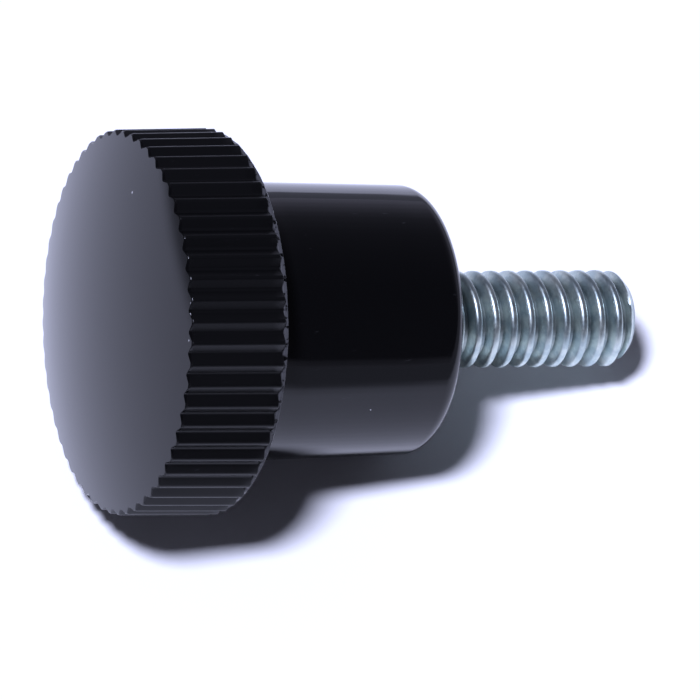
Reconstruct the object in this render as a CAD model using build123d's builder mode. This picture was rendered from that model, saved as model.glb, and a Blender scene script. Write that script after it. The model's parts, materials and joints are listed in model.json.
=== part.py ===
from build123d import *
from math import asin, atan2, cos, degrees, hypot, pi, radians, sin, sqrt, tan
import os

# Knurled knob, lying at rest on its side.
#
# A one-piece moulding (domed head with a straight-knurled rim, and a boss) is moulded
# round a steel stud.  Lengths along the knob's axis are measured from the plane of the
# knurled face edge, towards the tip of the stud.

# ---- Driving dimensions (mm) ------------------------------------------------------
head_diameter = 25.0        # over the knurl crests, at the back of the rim
rim_length = 6.7            # face edge to the back of the rim
rim_draft_deg = 0.9         # the rim is widest at the back, where the mould parts
dome_height = 1.6           # crown of the face above its knurled edge
face_edge_chamfer = 0.25    # bevel round the face, which the grooves run out through
knurl_count = 56            # straight V grooves round the rim
knurl_depth = 0.38          # crest to root
knurl_root_width = 0.20     # small flat at the bottom of each groove
knurl_crest_width = 0.20    # small flat left on top of each tooth
parting_lip_length = 0.30   # thin web left at the back of the rim, where the mould parts
parting_lip_drop = 0.20     # how far the web stays below the crests

boss_root_diameter = 18.15  # boss where it leaves the rim
boss_length = 14.25
boss_draft_deg = 1.2        # the boss narrows towards its end
boss_root_fillet = 0.5
boss_end_fillet = 1.2

stud_diameter = 6.35        # major diameter of a 1/4-20 UNC thread
stud_reach = 15.0           # free length beyond the end of the boss
stud_tip_chamfer = 0.75
stud_embedment = 11.0       # length held inside the moulding
held_collar = 0.6           # the held end is thicker than the thread by this all round
anchor_groove_depth = 0.6   # rings round the held end stop it pulling out
anchor_groove_width = 1.6
anchor_groove_count = 2
anchor_flat_depth = 0.5     # flats on the held end stop it turning
anchor_flat_length = 4.0

# ---- Sizes that follow ------------------------------------------------------------
crest_radius = head_diameter / 2
knurled_length = rim_length - parting_lip_length
rim_slope = tan(radians(rim_draft_deg))
face_radius = crest_radius - knurled_length * rim_slope
dome_radius = (face_radius**2 + dome_height**2) / (2 * dome_height)
bevel_radius = face_radius - face_edge_chamfer
bevel_start = dome_radius - dome_height - sqrt(dome_radius**2 - bevel_radius**2)
bevel_end_radius = face_radius + face_edge_chamfer * rim_slope
lip_radius = crest_radius - parting_lip_drop
boss_end = rim_length + boss_length
boss_root_radius = boss_root_diameter / 2
boss_draft = radians(boss_draft_deg)
boss_end_radius = boss_root_radius - boss_length * tan(boss_draft)
stud_radius = stud_diameter / 2
held_radius = stud_radius + held_collar
stud_tip = boss_end + stud_reach
stud_heel = boss_end - stud_embedment
tip_radius = stud_radius - stud_tip_chamfer

# ---- How the knob lies ------------------------------------------------------------
# It rests on two neighbouring crests at the back of the rim and on the rounded end of
# the boss.  A groove faces straight down, so the crests touch the ground half a pitch
# away from it, and the ground is the tangent from them to the boss's end rounding.
crest_turn = pi / knurl_count - knurl_crest_width / head_diameter
touching_radius = crest_radius * cos(crest_turn)
rounding_radius = boss_end_radius + boss_end_fillet * (tan(boss_draft) - 1 / cos(boss_draft))


def lean_onto(along_knob, radius, rounding=0.0):
    """Angle of a ground line that runs from the touching crests under a rounded edge."""
    run = along_knob - knurled_length
    drop = touching_radius - radius
    return atan2(drop, run) - asin(rounding / hypot(drop, run))


# The stud's tip only carries the knob if a large head or a short boss lets it come down.
lean = min(
    lean_onto(boss_end - boss_end_fillet, rounding_radius, boss_end_fillet),
    lean_onto(stud_tip - stud_tip_chamfer, stud_radius),
    lean_onto(stud_tip, tip_radius),
)

# The height of the face edge's centre, and the two ends of the knob along the ground.
# The head ends at the face's lower edge, or at the dome where that bulges past it.
face_height = touching_radius * cos(lean) + knurled_length * sin(lean)
edge_end = -face_radius * cos(crest_turn) * sin(lean)
dome_end = (dome_radius - dome_height) * cos(lean) - dome_radius
face_end = dome_end if dome_radius * sin(lean) < face_radius else edge_end
tip_end = stud_tip * cos(lean) + tip_radius * sin(lean)
face_centre = Vector(-(face_end + tip_end) / 2, 0, face_height)

knob_direction = Vector(cos(lean), 0, -sin(lean))
knob_axis = Axis(face_centre, knob_direction)
across = Plane(origin=face_centre, x_dir=(0, 1, 0), z_dir=knob_direction)
along = Plane(origin=face_centre, x_dir=knob_direction, z_dir=(0, -1, 0))

# ---- Threaded stud ----------------------------------------------------------------
# The thread itself is finer than this model: the free length has its major diameter.
# The held end is thicker, so it ends in a shoulder that is flush with the boss's end.
with BuildPart() as threaded_stud:
    with BuildSketch(across.offset(stud_heel)):
        Circle(held_radius)
    extrude(amount=stud_embedment)
    with BuildSketch(across.offset(boss_end)):
        Circle(stud_radius)
    extrude(amount=stud_reach)
    tip_edge = threaded_stud.edges().filter_by(GeomType.CIRCLE).sort_by(knob_axis)[-1]
    chamfer(tip_edge, length=stud_tip_chamfer)

    # Ring grooves, evenly spaced along the held end.
    for number in range(anchor_groove_count):
        step = stud_embedment / (anchor_groove_count + 1)
        middle = stud_heel + step * (number + 1)
        with BuildSketch(across.offset(middle - anchor_groove_width / 2)):
            Circle(held_radius)
            Circle(held_radius - anchor_groove_depth, mode=Mode.SUBTRACT)
        extrude(amount=anchor_groove_width, mode=Mode.SUBTRACT)

    # Two flats at the heel.
    with BuildSketch(across.offset(stud_heel)):
        with Locations((0, held_radius), (0, -held_radius)):
            Rectangle(2 * held_radius, 2 * anchor_flat_depth)
    extrude(amount=anchor_flat_length, mode=Mode.SUBTRACT)

# ---- Knob head --------------------------------------------------------------------
# One groove of the knurl, in the knob's own directions: out along X, knob axis along Z.
# It keeps its depth below the drafted rim, so it is wider at neither end.
with BuildPart() as groove:
    for height in (-dome_height, knurled_length):
        rim_radius = crest_radius - (knurled_length - height) * rim_slope
        root_radius = rim_radius - knurl_depth
        half_opening = rim_radius * sin(pi / knurl_count) - knurl_crest_width / 2
        flank_spread = (half_opening - knurl_root_width / 2) / knurl_depth
        outer_half_width = half_opening + flank_spread * knurl_depth
        with BuildSketch(Plane.XY.offset(height)):
            Polygon(
                (root_radius, -knurl_root_width / 2),
                (rim_radius + knurl_depth, -outer_half_width),
                (rim_radius + knurl_depth, outer_half_width),
                (root_radius, knurl_root_width / 2),
                align=None,
            )
    loft()

with BuildPart(across) as knob_head:
    # Section through the axis: domed face, bevel, drafted rim, lip, drafted boss.
    with BuildSketch(along):
        with BuildLine():
            RadiusArc((-dome_height, 0), (bevel_start, bevel_radius), dome_radius)
            Polyline(
                (bevel_start, bevel_radius),
                (face_edge_chamfer, bevel_end_radius),
                (knurled_length, crest_radius),
                (knurled_length, lip_radius),
                (rim_length, lip_radius),
                (rim_length, boss_root_radius),
                (boss_end, boss_end_radius),
                (boss_end, 0),
                (-dome_height, 0),
            )
        make_face()
    revolve(axis=knob_axis)

    end_ring = knob_head.edges().filter_by(GeomType.CIRCLE).sort_by(knob_axis)[-1]
    fillet(end_ring, radius=boss_end_fillet)
    root_ring = knob_head.edges().filter_by(GeomType.CIRCLE).filter_by(
        lambda ring: abs(ring.radius - boss_root_radius) < 1e-6)
    fillet(root_ring, radius=boss_root_fillet)

    # Straight knurl: grooves from the face to the lip, one of them facing down.
    with PolarLocations(0, knurl_count, start_angle=-90):
        add(groove.part, mode=Mode.SUBTRACT)

    # The moulding fills every groove and flat of the stud's held end.
    with Locations(across.location.inverse()):
        add(threaded_stud.part, mode=Mode.SUBTRACT)

# ---- Hand-over --------------------------------------------------------------------
os.makedirs("parts", exist_ok=True)
for name, piece in (("knob_head", knob_head), ("threaded_stud", threaded_stud)):
    piece.part.label = name
    export_step(piece.part, f"parts/{name}.step")
    box = piece.part.bounding_box()
    print(name, "volume", round(piece.part.volume, 1), "from", box.min, "to", box.max)
print("lean", round(degrees(lean), 2), "degrees, face centre", face_centre)
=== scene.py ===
# %% [markdown]
# # Knurled knob
# A black moulded knob with a straight-knurled rim, a smooth boss and a plated threaded
# stud. It lies on its side, on the rim and the boss, on a pale table under one soft lamp.
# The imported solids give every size; this scene gives the thread, the gloss and the wear.

import json
import math

import bmesh
import bpy
from mathutils import Matrix, Vector, noise


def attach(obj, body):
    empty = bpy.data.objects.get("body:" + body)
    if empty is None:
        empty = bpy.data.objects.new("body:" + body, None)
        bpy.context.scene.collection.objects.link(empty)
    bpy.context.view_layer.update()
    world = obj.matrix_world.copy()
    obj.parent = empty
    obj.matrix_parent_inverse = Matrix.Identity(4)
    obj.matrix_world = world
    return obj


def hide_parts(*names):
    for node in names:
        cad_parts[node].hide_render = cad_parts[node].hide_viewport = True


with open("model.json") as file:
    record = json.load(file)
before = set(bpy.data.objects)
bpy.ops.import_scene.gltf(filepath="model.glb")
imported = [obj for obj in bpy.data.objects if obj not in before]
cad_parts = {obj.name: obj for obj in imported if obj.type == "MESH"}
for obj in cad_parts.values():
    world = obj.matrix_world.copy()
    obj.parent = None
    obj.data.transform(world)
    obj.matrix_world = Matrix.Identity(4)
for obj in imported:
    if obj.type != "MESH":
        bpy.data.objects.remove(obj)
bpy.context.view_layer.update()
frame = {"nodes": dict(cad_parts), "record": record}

# %% [markdown]
# ## The knob's own directions
# Everything on a turned or moulded knob is round about one axis, so the shapes are drawn
# in the knob's own directions and turned into the scene once. X runs along the axis from
# the head to the stud's tip and is zero at the boss's end, where the knob meets its work.

# %% Knob directions
MM = 0.001
mounts = {mount["name"]: mount for mount in frame["record"]["mounts"]}
axis = Vector(mounts["stud"]["axis"]).normalized()
on_axis = Vector(mounts["stud"]["pos_m"])
seat = Vector(mounts["boss_seat"]["pos_m"])
seat_centre = on_axis + axis * (seat - on_axis).dot(axis)
side = Vector((0, 1, 0))
up = axis.cross(side)
knob_to_world = Matrix((
    (axis.x, side.x, up.x, seat_centre.x),
    (axis.y, side.y, up.y, seat_centre.y),
    (axis.z, side.z, up.z, seat_centre.z),
    (0, 0, 0, 1),
))
world_to_knob = knob_to_world.inverted()
print("leans", round(math.degrees(math.asin(-axis.z)), 2), "degrees")


def place(along, radius, turn):
    """A point in the knob's own directions."""
    return Vector((along, radius * math.cos(turn), radius * math.sin(turn)))


# %% [markdown]
# ## Sizes
# The sizes could be typed in again, but then they would drift from the solids. They are
# read off the solids' own corners instead: how far each lies along the axis and away from
# it. Only what the solids leave out, such as the thread, has a number here.

# %% Sizes from the solids
CLOSE = 0.01 * MM
BEHIND_CREST = 0.1 * MM
RIM_DRAFT = 0.12 * MM
ROOT_FILLET = 0.45 * MM
END_ROUNDING = 1.1 * MM
BOSS_LEAST_RADIUS = 7 * MM


def stations(node):
    """(along, radius) of every vertex of a node."""
    local = [world_to_knob @ v.co for v in frame["nodes"][node].data.vertices]
    return [(p.x, math.hypot(p.y, p.z)) for p in local]


head_points = stations("knob_head")
stud_points = stations("threaded_stud")
crest_radius = max(r for a, r in head_points)
crest_back = max(a for a, r in head_points if r > crest_radius - CLOSE)
lip_radius = max(r for a, r in head_points if a > crest_back + BEHIND_CREST)
rim_back = max(a for a, r in head_points if r > lip_radius - CLOSE)
apex = min(a for a, r in head_points)
bevel_end, bevel_end_radius = min(
    (a, r) for a, r in head_points if r > crest_radius - RIM_DRAFT)
boss_start, boss_start_radius = min(
    (a, r) for a, r in head_points
    if a > rim_back + ROOT_FILLET and r > BOSS_LEAST_RADIUS)
boss_round, boss_round_radius = max(
    (a, r) for a, r in head_points
    if boss_start < a < -END_ROUNDING and r > BOSS_LEAST_RADIUS)
stud_radius = mounts["stud"]["dims"]["r_mm"] * MM
stud_tip = max(a for a, r in stud_points)
stud_heel = min(a for a, r in stud_points)
held_radius = max(r for a, r in stud_points)
tip_radius = max(r for a, r in stud_points if a > stud_tip - CLOSE)
measured = {
    "crest radius": crest_radius, "crest back": crest_back, "lip radius": lip_radius,
    "rim back": rim_back, "apex": apex, "bevel end": bevel_end,
    "bevel end radius": bevel_end_radius, "boss start": boss_start,
    "boss start radius": boss_start_radius, "boss round": boss_round,
    "boss round radius": boss_round_radius, "stud tip": stud_tip,
    "stud heel": stud_heel, "held radius": held_radius, "tip radius": tip_radius,
}
for name, size in measured.items():
    print(name, round(size / MM, 3), "mm")

# %% [markdown]
# ## Rings
# A moulding that is round about its axis could be spun from one outline, but then it would
# be round everywhere. It is drawn ring by ring with `extrude_edge_only` instead. Each ring
# has as many points as the knurl needs, and a ring's point keeps its column, which lets
# the knurl run straight along the rim.

# %% Ring helper
MERGE_DISTANCE = 0.0005 * MM
SLIVER = 0.0002 * MM


def next_ring(bm, ring, places):
    """Extrudes a closed ring of vertices once and puts the new ones at places."""
    edges = [bm.edges.get((ring[i - 1], ring[i])) for i in range(len(ring))]
    grown = bmesh.ops.extrude_edge_only(bm, edges=edges)["geom"]
    new = {v for v in grown if isinstance(v, bmesh.types.BMVert)}
    ring = [next(e.other_vert(v) for e in v.link_edges if e.other_vert(v) in new)
            for v in ring]
    for vert, spot in zip(ring, places):
        vert.co = spot
    return ring


def round_stack(bm, turns, rings):
    """Stacks rings of places, with a flat cap at each end."""
    made = bmesh.ops.create_circle(bm, segments=len(turns), radius=1, cap_ends=True)
    ring = made["verts"]
    for vert, spot in zip(ring, rings[0]):
        vert.co = spot
    for places in rings[1:]:
        ring = next_ring(bm, ring, places)
    bmesh.ops.contextual_create(bm, geom=ring)
    return ring


def as_object(bm, name, smooth_deg):
    """Cleans a mesh in the knob's directions and stands it in the scene."""
    bmesh.ops.remove_doubles(bm, verts=bm.verts, dist=MERGE_DISTANCE)
    bmesh.ops.dissolve_degenerate(bm, dist=SLIVER, edges=bm.edges)
    bmesh.ops.transform(bm, matrix=knob_to_world, verts=bm.verts)
    bmesh.ops.recalc_face_normals(bm, faces=bm.faces)
    open_edges = sum(1 for e in bm.edges if len(e.link_faces) != 2)
    mesh = bpy.data.meshes.new(name)
    bm.to_mesh(mesh)
    bm.free()
    mesh.shade_smooth()
    mesh.set_sharp_from_angle(angle=math.radians(smooth_deg))
    obj = bpy.data.objects.new(name, mesh)
    bpy.context.scene.collection.objects.link(obj)
    print(name, len(mesh.polygons), "faces,", open_edges, "edges not closed")
    return obj


# %% [markdown]
# ## Knurl
# The rim is moulded with straight V grooves. Half a pitch is five short steps from the
# middle of a narrow crest, over its worn corner and down the flank, to the groove's root.
# A groove faces straight down, so the knob rests on the two crests beside it.

# %% Knurl
KNURL_COUNT = 56
KNURL_DEPTH = 0.38 * MM
half_pitch = math.pi / KNURL_COUNT
half_tooth = [(0, 0), (0.08, 0.006), (0.15, 0.045), (0.55, 0.335), (0.62, 0.374)]
columns = []
for tooth in range(KNURL_COUNT):
    centre = -math.pi / 2 + half_pitch * (2 * tooth + 1)
    steps = [(-x, d) for x, d in reversed(half_tooth[1:])] + half_tooth
    columns += [(centre + x * MM / crest_radius, d * MM) for x, d in steps]
    columns.append((centre + half_pitch, KNURL_DEPTH))
turns = [turn for turn, depth in columns]
depths = [depth for turn, depth in columns]
print(len(columns), "columns round the rim")

# %% [markdown]
# ## The head's profile
# The face is a shallow dome that ends in a narrow bevel, and behind the bevel the rim
# grows a little towards its back, as a moulding needs so that it can leave its mould. Two
# functions say where the face and the rim lie, and every ring asks them. The solid's bevel
# is wider than this one: here the grooves bite into the edge of the face.

# %% Face and rim profile
SOLID_BEVEL = 0.25 * MM
BEVEL = 0.10 * MM
rim_slope = (crest_radius - bevel_end_radius) / (crest_back - bevel_end)
face_edge = bevel_end - SOLID_BEVEL
face_radius = bevel_end_radius - SOLID_BEVEL * rim_slope
bevel_end = face_edge + BEVEL
bevel_end_radius = face_radius + BEVEL * rim_slope
dome_height = face_edge - apex
dome_radius = (face_radius ** 2 + dome_height ** 2) / (2 * dome_height)
bevel_radius = face_radius - BEVEL
print("dome radius", round(dome_radius / MM, 1), "mm")


def front(radius):
    """How far along the axis the face lies at a radius: dome, then bevel."""
    inner = min(radius, bevel_radius)
    along = apex + dome_radius - math.sqrt(dome_radius ** 2 - inner ** 2)
    share = (radius - inner) / (bevel_end_radius - bevel_radius)
    return along + (bevel_end - along) * share


def rim(along, depth):
    """The drafted rim's radius, less a depth."""
    return crest_radius - (crest_back - along) * rim_slope - depth


# %% [markdown]
# ## Face and rim
# The dome's rings lie closer together towards its edge, where it curves into the bevel.
# Near the edge a ring gives way to each groove, so that the face's outline is toothed. A
# boolean could cut the grooves, but rings keep the crests even and the faces clean.

# %% Face and rim rings
FACE_RADII_MM = (0.6, 2, 3.5, 5, 6.5, 8, 9.2, 10.2, 11, 11.5, 11.8)
PAST_BEVEL_MM = (-0.26, -0.14, -0.05, 0, 0.04, 0.075)
EDGE_STEPS_MM = ((0.02, 0), (0.004, 0.012), (0, 0.04))
RIM_STATIONS = 8
RIM_FRONT_STEP = 0.06 * MM
RIM_BACK_STEP = 0.04 * MM
EDGE_INSET = 0.02 * MM
CREST_DEPTH = 0.1 * MM
rings = []
for radius in FACE_RADII_MM:
    rings.append([place(front(radius * MM), radius * MM, t) for t in turns])
for past in PAST_BEVEL_MM:
    widths = [min(bevel_radius + past * MM, rim(bevel_end, d) - EDGE_INSET)
              for d in depths]
    rings.append([place(front(r), r, t) for r, t in zip(widths, turns)])
for inset, past in EDGE_STEPS_MM:
    rings.append([place(front(rim(bevel_end, d)) + past * MM,
                        rim(bevel_end, d) - inset * MM, t) for t, d in columns])
rim_length = crest_back - bevel_end - RIM_FRONT_STEP - RIM_BACK_STEP
for i in range(RIM_STATIONS + 1):
    along = bevel_end + RIM_FRONT_STEP + rim_length * i / RIM_STATIONS
    rings.append([place(along, rim(along, d), t) for t, d in columns])
rings.append([place(crest_back,
                    rim(crest_back, d) - (RIM_BACK_STEP if d < CREST_DEPTH else 0), t)
              for t, d in columns])
print(len(rings), "rings on the face and rim")

# %% [markdown]
# ## Parting lip
# The two halves of the mould meet behind the rim and leave a thin lip there. Its edge is
# where flash was broken off, so it isn't quite round. Noise read round a circle meets
# itself again after a full turn, which a random number for each point wouldn't.

# %% Parting lip
FLASH = 0.05 * MM
LIP_CORNER = 0.06 * MM


def flash(turn):
    """How far the lip stands out or falls short at a turn."""
    spot = Vector((math.cos(turn), math.sin(turn), 0))
    fine = noise.noise(spot * 34)
    broad = noise.noise(spot * 6 + Vector((3, 1, 7)))
    return (fine + broad - 1) * FLASH


lip = [lip_radius + flash(t) for t in turns]
for along, inset in ((crest_back, 0.03 * MM), (crest_back + 0.04 * MM, 0),
                     (rim_back - LIP_CORNER, 0), (rim_back, LIP_CORNER)):
    rings.append([place(along, r - inset, t) for r, t in zip(lip, turns)])
print("lip between", round(min(lip) / MM, 2), "and", round(max(lip) / MM, 2), "mm")

# %% [markdown]
# ## Boss
# A flat back, a small fillet, the smooth drafted boss and its rounded end follow, and last
# the bore that the stud is moulded into. The fillet and the rounding are quarter circles
# of short steps, close enough for the gloss to run over them without a line.

# %% Boss rings
FLAT_BACK_RADIUS = 11.4 * MM
FILLET_STEPS = 5
BOSS_STEPS = 5
END_STEPS = 10
BOSS_FACE_RADIUS = 6 * MM
BORE_CLEARANCE = 0.01 * MM
quarter = math.pi / 2
rings.append([place(rim_back, FLAT_BACK_RADIUS, t) for t in turns])
fillet = boss_start - rim_back
for i in range(FILLET_STEPS + 1):
    a = quarter * i / FILLET_STEPS
    rings.append([place(rim_back + fillet * (1 - math.cos(a)),
                        boss_start_radius + fillet * (1 - math.sin(a)), t)
                  for t in turns])
for i in range(1, BOSS_STEPS + 1):
    f = i / BOSS_STEPS
    rings.append([place(boss_start + (boss_round - boss_start) * f,
                        boss_start_radius + (boss_round_radius - boss_start_radius) * f, t)
                  for t in turns])
end_round = -boss_round
for i in range(1, END_STEPS + 1):
    a = quarter * i / END_STEPS
    rings.append([place(boss_round + end_round * math.sin(a),
                        boss_round_radius - end_round * (1 - math.cos(a)), t)
                  for t in turns])
bore_radius = held_radius + BORE_CLEARANCE
rings.append([place(0, BOSS_FACE_RADIUS, t) for t in turns])
rings.append([place(0, bore_radius, t) for t in turns])
rings.append([place(stud_heel - BORE_CLEARANCE, bore_radius, t) for t in turns])
print(len(rings), "rings on the whole head")

# %% [markdown]
# ## Head
# The rings are stacked into one closed moulding. Its vertices carry three marks, for the
# lip, the knurl and three spots by the face's edge where a highlight is painted. A
# material reads them as attributes, which stay on their vertices however the knob is
# turned.

# %% Head
NEAR = 0.02 * MM
LIP_BAND = 0.35 * MM
# Three spots by the face's edge, where tooth ends catch the lamp, get a painted highlight.
PAINTED_GLINT_SPOTS = ((12.0, 130.2), (12.0, 136.7), (12.25, 126.7))
bm = bmesh.new()
lip_layer = bm.verts.layers.float.new("lip")
knurl_layer = bm.verts.layers.float.new("knurl")
glint_layer = bm.verts.layers.float.new("painted_glint")
round_stack(bm, turns, rings)
for vert in bm.verts:
    if face_edge + NEAR < vert.co.x < crest_back + NEAR:
        vert[knurl_layer] = 1.0
    if crest_back - NEAR < vert.co.x < rim_back + NEAR:
        near = math.hypot(vert.co.y, vert.co.z)
        vert[lip_layer] = 1.0 if near > lip_radius - LIP_BAND else 0.0
for radius, degrees in PAINTED_GLINT_SPOTS:
    spot = place(face_edge, radius * MM, math.radians(degrees))
    min(bm.verts, key=lambda vert: (vert.co - spot).length)[glint_layer] = 1.0
head = as_object(bm, "moulded_head", 32)
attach(head, "root")
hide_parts("knob_head")

# %% [markdown]
# ## Thread outline
# The stud has a right-hand 60 degree thread right up to the boss. One pitch of its outline
# is a root, a flank, a worn crest and the flank down again. The crest's corners are eased
# in small steps, because rolled threads have no sharp edges.

# %% Thread outline
PITCH = 1.27 * MM
THREAD_DEPTH = 0.72 * MM
CREST_FLAT = 0.36 * MM
ROOT_FLAT = 0.18 * MM
CORNER_MM = ((0.13, 0), (0.06, 0.012), (-0.01, 0.05))
root_radius = stud_radius - THREAD_DEPTH
flank = (PITCH - CREST_FLAT - ROOT_FLAT) / 2
crest_start = ROOT_FLAT + flank
outline = [(0, root_radius), (ROOT_FLAT, root_radius)]
for i in range(1, 5):
    outline.append((ROOT_FLAT + flank * i / 5, root_radius + THREAD_DEPTH * i / 5))
for x, drop in reversed(CORNER_MM):
    outline.append((crest_start + x * MM, stud_radius - drop * MM))
for x, drop in CORNER_MM:
    outline.append((crest_start + CREST_FLAT - x * MM, stud_radius - drop * MM))
for i in range(4, 0, -1):
    outline.append((PITCH - flank * i / 5, root_radius + THREAD_DEPTH * i / 5))
outline.append((PITCH, root_radius))
print(len(outline), "points in one pitch")

# %% [markdown]
# ## Thread
# The Screw modifier could turn the outline, but `spin` with a `dvec` does it in one
# operator: it moves the outline along by a little at each step, and each turn meets the
# last one, so merging their doubles closes the thread along its whole length.

# %% Thread
STEPS = 72
FIRST_TURN = -1.94
SEAM = 0.002 * MM
bm = bmesh.new()
start = FIRST_TURN * PITCH
verts = [bm.verts.new(place(start + a, r, 2.0)) for a, r in outline]
edges = [bm.edges.new(pair) for pair in zip(verts, verts[1:])]
turn_count = math.ceil((stud_tip - start) / PITCH) + 2
bmesh.ops.spin(
    bm, geom=verts + edges, cent=(0, 0, 0), axis=(1, 0, 0),
    dvec=(PITCH / STEPS, 0, 0), angle=2 * math.pi * turn_count,
    steps=STEPS * turn_count, use_duplicate=False)
bmesh.ops.remove_doubles(bm, verts=bm.verts, dist=SEAM)
print("thread of", turn_count, "turns before it is cut to length")

# %% [markdown]
# ## Thread ends
# A spun thread starts and stops in mid air with an open edge. A plane cuts each end
# square and a face closes it. The tip is then drawn in to a cone by moving what stands
# outside it, so that the turns run out as they do on a chamfered end.

# %% Thread ends
HIDDEN_END = -0.4 * MM
ON_CUT = 0.001 * MM
for cut, outside in ((HIDDEN_END, False), (stud_tip, True)):
    bmesh.ops.bisect_plane(
        bm, geom=bm.verts[:] + bm.edges[:] + bm.faces[:], plane_co=(cut, 0, 0),
        plane_no=(1, 0, 0), clear_outer=outside, clear_inner=not outside)
    rim_edges = [e for e in bm.edges
                 if len(e.link_faces) == 1
                 and all(abs(v.co.x - cut) < ON_CUT for v in e.verts)]
    bmesh.ops.holes_fill(bm, edges=rim_edges, sides=0)
taper = stud_radius - tip_radius
for vert in bm.verts:
    radius = math.hypot(vert.co.y, vert.co.z)
    limit = tip_radius + max(0, stud_tip - vert.co.x)
    if vert.co.x > stud_tip - taper and radius > limit:
        vert.co.y *= limit / radius
        vert.co.z *= limit / radius
thread = as_object(bm, "stud_thread", 40)

# %% [markdown]
# ## Held end
# Inside the moulding the stud is thicker and has two ring grooves, which the plastic
# fills, so that it can't be pulled out. Only its end shows, as a thin ring of steel flush
# with the boss, so the same ring helper draws it from a short profile.

# %% Held end
GROOVE_DEPTH = 0.6 * MM
GROOVE_HALF = 0.8 * MM
HELD_SEGMENTS = 96
held_profile = [(stud_heel, held_radius)]
for number in (1, 2):
    middle = stud_heel - stud_heel * number / 3
    for offset, depth in ((-GROOVE_HALF, 0), (-GROOVE_HALF, GROOVE_DEPTH),
                          (GROOVE_HALF, GROOVE_DEPTH), (GROOVE_HALF, 0)):
        held_profile.append((middle + offset, held_radius - depth))
held_profile.append((0, held_radius))
bm = bmesh.new()
held_turns = [2 * math.pi * i / HELD_SEGMENTS for i in range(HELD_SEGMENTS)]
round_stack(bm, held_turns, [[place(a, r, t) for t in held_turns]
                             for a, r in held_profile])
held_end = as_object(bm, "stud_held_end", 28)

# %% [markdown]
# ## One stud
# Thread and held end are one piece of steel, so a Boolean modifier unites them and its
# result becomes a new mesh. Each vertex then carries how deep in the thread it lies, so
# that shade can be painted into the roots.

# %% One stud
join = thread.modifiers.new("join", "BOOLEAN")
join.operation = "UNION"
join.solver = "EXACT"
join.object = held_end
depsgraph = bpy.context.evaluated_depsgraph_get()
joined = bpy.data.meshes.new_from_object(thread.evaluated_get(depsgraph))
for piece in (thread, held_end):
    bpy.data.objects.remove(piece)
bm = bmesh.new()
bm.from_mesh(joined)
bmesh.ops.transform(bm, matrix=world_to_knob, verts=bm.verts)
valley_layer = bm.verts.layers.float.new("valley")
for vert in bm.verts:
    radius = math.hypot(vert.co.y, vert.co.z)
    vert[valley_layer] = min(1, max(0, (stud_radius - radius) / THREAD_DEPTH))
stud = as_object(bm, "steel_stud", 40)
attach(stud, "root")
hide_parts("threaded_stud")

# %% [markdown]
# ## Material helpers
# Finishes are node trees in object coordinates, which here are metres in the scene. They
# could be clicked together in the editor, but a few helpers make each node one line. A
# Mapping node turns a mark into the knob's own directions where it follows the knob.

# %% Node helpers
def fresh(name):
    """A material with only its output and a Principled shader."""
    material = bpy.data.materials.new(name)
    material.use_nodes = True
    tree = material.node_tree
    tree.nodes.clear()
    shader = tree.nodes.new("ShaderNodeBsdfPrincipled")
    output = tree.nodes.new("ShaderNodeOutputMaterial")
    tree.links.new(shader.outputs["BSDF"], output.inputs["Surface"])
    return material, tree, shader


def node(tree, kind, **inputs):
    """A node with its sockets set; an output given as a value is linked."""
    made = tree.nodes.new(kind)
    for name, value in inputs.items():
        socket = made.inputs[name.replace("_", " ")]
        if isinstance(value, bpy.types.NodeSocket):
            tree.links.new(value, socket)
        else:
            socket.default_value = value
    return made


def maths(tree, operation, a, b=0.0, clamp=False):
    """A Math node's result."""
    made = tree.nodes.new("ShaderNodeMath")
    made.operation = operation
    made.use_clamp = clamp
    for socket, value in zip(made.inputs, (a, b)):
        if isinstance(value, bpy.types.NodeSocket):
            tree.links.new(value, socket)
        else:
            socket.default_value = value
    return made.outputs[0]


def step(tree, value, low, high, to_low=0.0, to_high=1.0):
    """Value mapped smoothly from one range to another."""
    made = tree.nodes.new("ShaderNodeMapRange")
    made.interpolation_type = "SMOOTHSTEP"
    tree.links.new(value, made.inputs["Value"])
    for name, number in (("From Min", low), ("From Max", high),
                         ("To Min", to_low), ("To Max", to_high)):
        made.inputs[name].default_value = number
    return made.outputs["Result"]


def blend_colour(tree, factor, first, second):
    """A Mix node set to colours."""
    made = tree.nodes.new("ShaderNodeMix")
    made.data_type = "RGBA"
    for socket, value in ((made.inputs[0], factor), (made.inputs[6], first),
                          (made.inputs[7], second)):
        if isinstance(value, bpy.types.NodeSocket):
            tree.links.new(value, socket)
        else:
            socket.default_value = value
    return made.outputs[2]


def attribute(tree, name):
    """The mark that the vertices carry under a name."""
    made = tree.nodes.new("ShaderNodeAttribute")
    made.attribute_name = name
    return made.outputs["Fac"]


# %% [markdown]
# ## Dust
# A glossy black moulding shows every grain of dust. Noise would give blotches, so the
# group uses Voronoi cells: a cell holds at most one small speck, and a random number per
# cell leaves most out.

# %% Dust group
SPECK_SIZE = 0.08
dust_group = bpy.data.node_groups.new("dust_specks", "ShaderNodeTree")
for name, kind in (("Vector", "NodeSocketVector"), ("Cells per metre", "NodeSocketFloat"),
                   ("Share", "NodeSocketFloat")):
    dust_group.interface.new_socket(name, in_out="INPUT", socket_type=kind)
dust_group.interface.new_socket("Mask", in_out="OUTPUT", socket_type="NodeSocketFloat")
enter = dust_group.nodes.new("NodeGroupInput")
leave = dust_group.nodes.new("NodeGroupOutput")
cells = node(dust_group, "ShaderNodeTexVoronoi", Vector=enter.outputs["Vector"],
             Scale=enter.outputs["Cells per metre"], Randomness=1.0)
pick = node(dust_group, "ShaderNodeSeparateColor", Color=cells.outputs["Color"])
size = maths(dust_group, "MULTIPLY", pick.outputs[1], SPECK_SIZE)
inside = maths(dust_group, "LESS_THAN", cells.outputs["Distance"], size)
chosen = maths(dust_group, "LESS_THAN", pick.outputs[0], enter.outputs["Share"])
dust_group.links.new(maths(dust_group, "MULTIPLY", inside, chosen), leave.inputs["Mask"])
print("dust group with", len(dust_group.nodes), "nodes")

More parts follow.
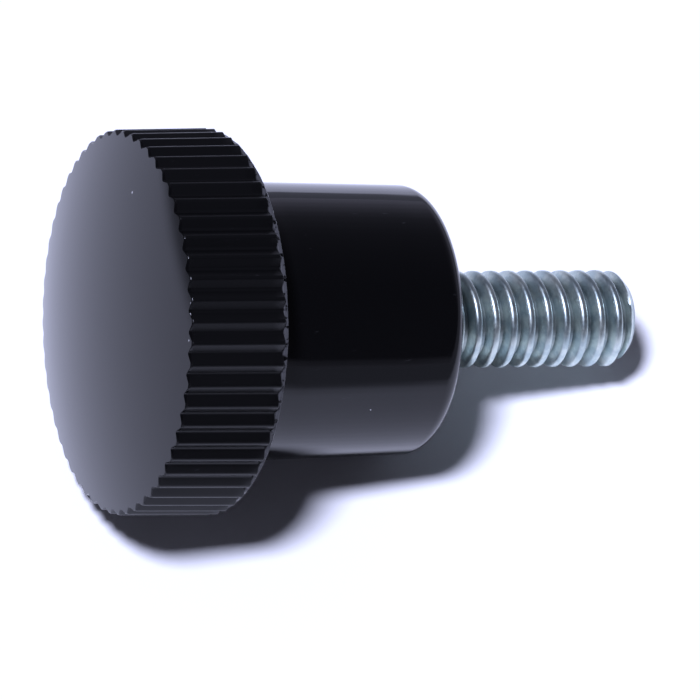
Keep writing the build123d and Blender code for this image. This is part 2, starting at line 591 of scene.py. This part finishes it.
# %% [markdown]
# ## Scuffs
# Handling leaves a few faint rubbed lines that run the way the knob was pushed, along its
# axis. Noise stretched along X gives them, and only its highest peaks are kept.

# %% Scuff group
scuff_group = bpy.data.node_groups.new("rubbed_lines", "ShaderNodeTree")
for name in ("Vector", "Lean"):
    scuff_group.interface.new_socket(name, in_out="INPUT", socket_type="NodeSocketVector")
scuff_group.interface.new_socket("Mask", in_out="OUTPUT", socket_type="NodeSocketFloat")
enter = scuff_group.nodes.new("NodeGroupInput")
leave = scuff_group.nodes.new("NodeGroupOutput")
turned = node(scuff_group, "ShaderNodeMapping", Vector=enter.outputs["Vector"],
              Rotation=enter.outputs["Lean"], Scale=(320.0, 3200.0, 3200.0))
lines = node(scuff_group, "ShaderNodeTexNoise", Vector=turned.outputs["Vector"],
             Scale=1.0, Detail=2.0, Roughness=0.6)
scuff_group.links.new(step(scuff_group, lines.outputs["Fac"], 0.70, 0.80),
                      leave.inputs["Mask"])
print("scuff group with", len(scuff_group.nodes), "nodes")

# %% [markdown]
# ## Black moulding
# The moulding is nearly black and mirror smooth, as a compression moulding is where the
# steel of the mould was polished. Its gloss waves a little and dust lies on it, and three
# pale spots by the face's edge are painted highlights. The knurl was cut in the mould and
# left unpolished, so it is duller, and the parting lip behind the rim is grey and matt,
# because flash was broken off there.

# %% Moulding
BLACK = (0.0022, 0.0022, 0.0024, 1)
RUBBED = (0.016, 0.016, 0.017, 1)
# The grey of the dust, also painted on three spots by the face's edge as highlights.
DUST_AND_GLINT_GREY = (0.38, 0.38, 0.39, 1)
LIP_GREY = (0.06, 0.06, 0.063, 1)
LIP_ROUGHNESS = 0.65
KNURL_ROUGHNESS = 0.34
moulding, tree, shader = fresh("moulding")
coordinates = tree.nodes.new("ShaderNodeTexCoord").outputs["Object"]
waves = node(tree, "ShaderNodeTexNoise", Vector=coordinates, Scale=260.0, Detail=2.0,
             Roughness=0.5)
chips = node(tree, "ShaderNodeTexNoise", Vector=coordinates, Scale=2600.0, Detail=2.0,
             Roughness=0.5)
dust = node(tree, "ShaderNodeGroup")
dust.node_tree = dust_group
tree.links.new(coordinates, dust.inputs["Vector"])
dust.inputs["Cells per metre"].default_value = 620.0
dust.inputs["Share"].default_value = 0.18
scuffs = node(tree, "ShaderNodeGroup")
scuffs.node_tree = scuff_group
tree.links.new(coordinates, scuffs.inputs["Vector"])
scuffs.inputs["Lean"].default_value = (0, -math.asin(-axis.z), 0)
lip_mask = maths(tree, "MULTIPLY", attribute(tree, "lip"),
                 step(tree, chips.outputs["Fac"], 0.36, 0.5), clamp=True)
# Real dust specks, plus painted highlights on the three spots by the face's edge.
dust_and_painted_glints = maths(tree, "MAXIMUM", dust.outputs["Mask"],
               step(tree, attribute(tree, "painted_glint"), 0.6, 0.85, 0.0, 1.6), clamp=True)
rubbed = blend_colour(tree, scuffs.outputs["Mask"], BLACK, RUBBED)
dust_and_glint_colour = blend_colour(tree, dust_and_painted_glints, rubbed, DUST_AND_GLINT_GREY)
tree.links.new(blend_colour(tree, lip_mask, dust_and_glint_colour, LIP_GREY), shader.inputs["Base Color"])

# %% [markdown]
# ## Gloss of the moulding
# The colour is nearly the same all over, so it is the gloss that tells the surfaces apart.
# The roughest of the three finishes wins at each place, and a very slight bump lets the
# reflections waver as they do in real plastic.

# %% Gloss of the moulding
knurl = attribute(tree, "knurl")
gloss = step(tree, waves.outputs["Fac"], 0.3, 0.7, 0.05, 0.085)
duller = maths(tree, "MAXIMUM", maths(tree, "MULTIPLY", lip_mask, LIP_ROUGHNESS),
               maths(tree, "MULTIPLY", knurl, KNURL_ROUGHNESS))
tree.links.new(maths(tree, "MAXIMUM", gloss, duller), shader.inputs["Roughness"])
tree.links.new(step(tree, knurl, 0.0, 1.0, 0.5, 0.38),
               shader.inputs["Specular IOR Level"])
shader.inputs["IOR"].default_value = 1.43
bump = node(tree, "ShaderNodeBump", Strength=0.05, Distance=0.00004,
            Height=waves.outputs["Fac"])
tree.links.new(bump.outputs["Normal"], shader.inputs["Normal"])
head.data.materials.append(moulding)
print("moulding with", len(tree.nodes), "nodes")

# %% [markdown]
# ## Plated steel
# The stud is steel with bright zinc plate: bright, a little blue and not quite smooth. The
# thread's roots are painted darker, as shade, and the tint changes slowly along the
# thread.

# %% Plated steel
BLUE_PLATE = (0.44, 0.54, 0.54, 1)
PALE_PLATE = (0.66, 0.74, 0.69, 1)
# Painted shade for the thread's roots.
ROOT_SHADE = (0.10, 0.12, 0.13, 1)
plated, tree, shader = fresh("plated_steel")
coordinates = tree.nodes.new("ShaderNodeTexCoord").outputs["Object"]
tone = node(tree, "ShaderNodeTexNoise", Vector=coordinates, Scale=900.0, Detail=3.0,
            Roughness=0.6)
fine = node(tree, "ShaderNodeTexNoise", Vector=coordinates, Scale=6000.0, Detail=3.0,
            Roughness=0.6)
bright = blend_colour(tree, step(tree, tone.outputs["Fac"], 0.35, 0.65),
                      BLUE_PLATE, PALE_PLATE)
# Painted shade: the deeper in the thread's roots, the darker.
root_shade = maths(tree, "MULTIPLY", step(tree, attribute(tree, "valley"), 0.55, 1.0), 0.45)
tree.links.new(blend_colour(tree, root_shade, bright, ROOT_SHADE), shader.inputs["Base Color"])
shader.inputs["Metallic"].default_value = 1.0
tree.links.new(step(tree, fine.outputs["Fac"], 0.3, 0.7, 0.34, 0.46),
               shader.inputs["Roughness"])
bump = node(tree, "ShaderNodeBump", Strength=0.04, Distance=0.00002,
            Height=fine.outputs["Fac"])
tree.links.new(bump.outputs["Normal"], shader.inputs["Normal"])
stud.data.materials.append(plated)
print("plated steel with", len(tree.nodes), "nodes")

# %% [markdown]
# ## Table
# The table is one big square, plain and white near the knob. Further off it turns grey,
# away from a point just behind the knob, so that what the gloss reflects gets darker away
# from the knob.

# %% Table
HALF_WIDTH = 3
# The table turns grey between these two distances from this point.
GREYING_CENTRE = (-0.02, 0.03, 0)
GREYING_RANGE = (0.070, 0.105)
GREY = (0.28, 0.28, 0.28, 1)
bm = bmesh.new()
bmesh.ops.create_grid(bm, x_segments=1, y_segments=1, size=HALF_WIDTH)
floor_mesh = bpy.data.meshes.new("table")
bm.to_mesh(floor_mesh)
bm.free()
table = bpy.data.objects.new("table", floor_mesh)
bpy.context.scene.collection.objects.link(table)
paper, tree, shader = fresh("table_sheet")
coordinates = tree.nodes.new("ShaderNodeTexCoord").outputs["Object"]
distance = node(tree, "ShaderNodeVectorMath")
distance.operation = "DISTANCE"
distance.inputs[1].default_value = GREYING_CENTRE
tree.links.new(coordinates, distance.inputs[0])
away = step(tree, distance.outputs["Value"], *GREYING_RANGE)
tree.links.new(blend_colour(tree, away, (1, 1, 1, 1), GREY), shader.inputs["Base Color"])
shader.inputs["Roughness"].default_value = 1.0
shader.inputs["Specular IOR Level"].default_value = 0.0
table.data.materials.append(paper)
print("table", 2 * HALF_WIDTH, "m wide")

# %% [markdown]
# ## Light
# One lamp stands high in front and to the left. A sun lamp gives every part of the knob
# the same light, and its angle is wide enough to give the shadow a soft edge.

# %% Lamp
TOWARDS_LAMP = Vector((-0.28, -0.22, 0.93))
lamp = bpy.data.lights.new("lamp", "SUN")
lamp.energy = 4.6
lamp.color = (0.70, 0.735, 1.0)
lamp.angle = math.radians(11)
sun = bpy.data.objects.new("lamp", lamp)
sun.rotation_euler = TOWARDS_LAMP.to_track_quat("Z", "Y").to_euler()
bpy.context.scene.collection.objects.link(sun)
print("lamp energy", lamp.energy, "angle", round(math.degrees(lamp.angle)), "degrees")

# %% [markdown]
# ## Room
# Gloss needs something to reflect. The room is a dim surround that gets darker upwards and
# is lighter behind the knob than in front of it. Two colour ramps over the height of the
# direction give that, blended by whether the direction points backwards, and a tint cools
# both. An image of a room could do it too, but a ramp can be read and changed.

# %% Room
TINT = (0.92, 0.93, 1.28, 1)
BEHIND = ((0, 0.5), (0.2, 0.31), (0.36, 0.16), (0.56, 0.09), (0.74, 0.05), (1, 0.03))
BEFORE = ((0, 0.34), (0.12, 0.05), (1, 0.03))
world = bpy.data.worlds.new("room")
world.use_nodes = True
bpy.context.scene.world = world
tree = world.node_tree
tree.nodes.clear()
look = tree.nodes.new("ShaderNodeTexCoord").outputs["Generated"]
split = node(tree, "ShaderNodeSeparateXYZ", Vector=look)


def ramp(stops):
    """Light level against the height of the direction, as a colour ramp."""
    made = tree.nodes.new("ShaderNodeValToRGB")
    tree.links.new(split.outputs["Z"], made.inputs["Fac"])
    elements = made.color_ramp.elements
    while len(elements) < len(stops):
        elements.new(0.5)
    for element, (position, level) in zip(elements, stops):
        element.position = position
        element.color = (level, level, level, 1)
    return made.outputs["Color"]


level = blend_colour(tree, step(tree, split.outputs["Y"], -0.3, 0.3),
                     ramp(BEFORE), ramp(BEHIND))
tinted = tree.nodes.new("ShaderNodeMix")
tinted.data_type = "RGBA"
tinted.blend_type = "MULTIPLY"
tinted.inputs[0].default_value = 1.0
tree.links.new(level, tinted.inputs[6])
tinted.inputs[7].default_value = TINT
background = node(tree, "ShaderNodeBackground", Color=tinted.outputs[2], Strength=1.0)
output = tree.nodes.new("ShaderNodeOutputWorld")
tree.links.new(background.outputs[0], output.inputs["Surface"])
print("room with", len(tree.nodes), "nodes")

# %% [markdown]
# ## Camera
# The camera looks down at the face from the front, with a long lens, so that the face is
# a narrow ellipse on the left and the stud points away to the right. A Track To constraint
# would keep the picture level, and here it is rolled a little, so the camera's own three
# directions are worked out and given to it as a matrix.

# %% Camera
AIM_RIGHT = 15.03 * MM
AIM_DOWN = 1.77 * MM
DISTANCE = 0.6
elevation, azimuth, roll = math.radians(50), math.radians(-19.9), math.radians(4.6)
back = Vector((math.cos(elevation) * math.sin(azimuth),
               -math.cos(elevation) * math.cos(azimuth), math.sin(elevation)))
right = Vector((math.cos(azimuth), math.sin(azimuth), 0))
above = back.cross(right)
rolled_right = right * math.cos(roll) + above * math.sin(roll)
rolled_above = above * math.cos(roll) - right * math.sin(roll)
face_centre = knob_to_world @ Vector((face_edge, 0, 0))
aim = face_centre + rolled_right * AIM_RIGHT - rolled_above * AIM_DOWN
camera_data = bpy.data.cameras.new("camera")
camera_data.lens = 480
camera_data.sensor_width = 36
camera_data.clip_end = 20
camera = bpy.data.objects.new("camera", camera_data)
stand = aim + back * DISTANCE
camera.matrix_world = Matrix((
    (rolled_right.x, rolled_above.x, back.x, stand.x),
    (rolled_right.y, rolled_above.y, back.y, stand.y),
    (rolled_right.z, rolled_above.z, back.z, stand.z),
    (0, 0, 0, 1),
))
bpy.context.scene.collection.objects.link(camera)
bpy.context.scene.camera = camera
bpy.context.scene.view_settings.view_transform = "Standard"
print("camera at", [round(value, 3) for value in stand])
